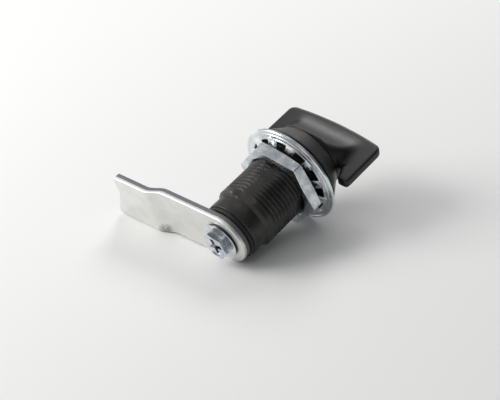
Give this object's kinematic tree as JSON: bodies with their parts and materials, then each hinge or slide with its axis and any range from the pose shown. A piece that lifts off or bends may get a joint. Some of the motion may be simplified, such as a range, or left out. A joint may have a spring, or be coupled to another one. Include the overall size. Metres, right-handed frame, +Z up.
{
  "type": "cam latch",
  "caption": "Quarter-turn cam latch: black wing knob and bezel, flatted threaded barrel with nut and toothed washer, and a cranked steel cam bolted to the spindle.",
  "frame": {"origin": "on the level surface that the latch lies on, under the middle of its bounding box", "axes": "+Z up, +X along the wing, away from the cam's tip, +Y towards the knob; the latch's own axis lies in the YZ plane, tipped up by 15 degrees at the knob end"},
  "size_m": [0.07, 0.062, 0.035],
  "materials": {
    "black_plastic": "satin moulded black",
    "barrel_plastic": "matt moulded black with fine streaks along the thread",
    "rubber": "matt",
    "slip_plastic": "natural, smooth",
    "bright_zinc": "bright zinc plate with a bluish tint",
    "cam_zinc": "satin zinc plate",
    "spring_steel": "bare spring steel",
    "dark_steel": "phosphated"
  },
  "bodies": {
    "barrel": {"housing": "barrel_plastic", "flange_gasket": "rubber", "thrust_washer": "slip_plastic", "detent_ball_1": "bright_zinc", "detent_ball_2": "bright_zinc", "detent_spring_1": "spring_steel", "detent_spring_2": "spring_steel"},
    "turning": {"wing_knob": "black_plastic", "spindle": "bright_zinc", "spindle_o_ring_1": "rubber", "spindle_o_ring_2": "rubber", "wave_washer": "spring_steel", "retaining_ring": "dark_steel", "stop_ring": "black_plastic", "cam": "cam_zinc", "lock_washer": "dark_steel", "cam_bolt": "bright_zinc"},
    "washer": {"tooth_washer": "bright_zinc"},
    "nut": {"hex_nut": "bright_zinc"}
  },
  "joints": [
    {"name": "knob_turn", "type": "hinge", "parent": "barrel", "child": "turning", "pos_m": [0.01609, 0.00644, 0.01765], "axis": [0, 0.9647, 0.2634], "range_deg": [0, 90]},
    {"name": "nut_travel", "type": "slide", "parent": "barrel", "child": "washer", "axis": [0, -0.9647, -0.2634], "range_m": [0, 0.012]},
    {"name": "nut_turn", "type": "hinge", "parent": "washer", "child": "nut", "pos_m": [0.01609, 0.00644, 0.01765], "axis": [0, -0.9647, -0.2634], "range_deg": [0, 2880]}
  ],
  "couplings": [
    {"joint": "nut_turn", "follows": "nut_travel", "rad_per_m": 4188.8}
  ]
}
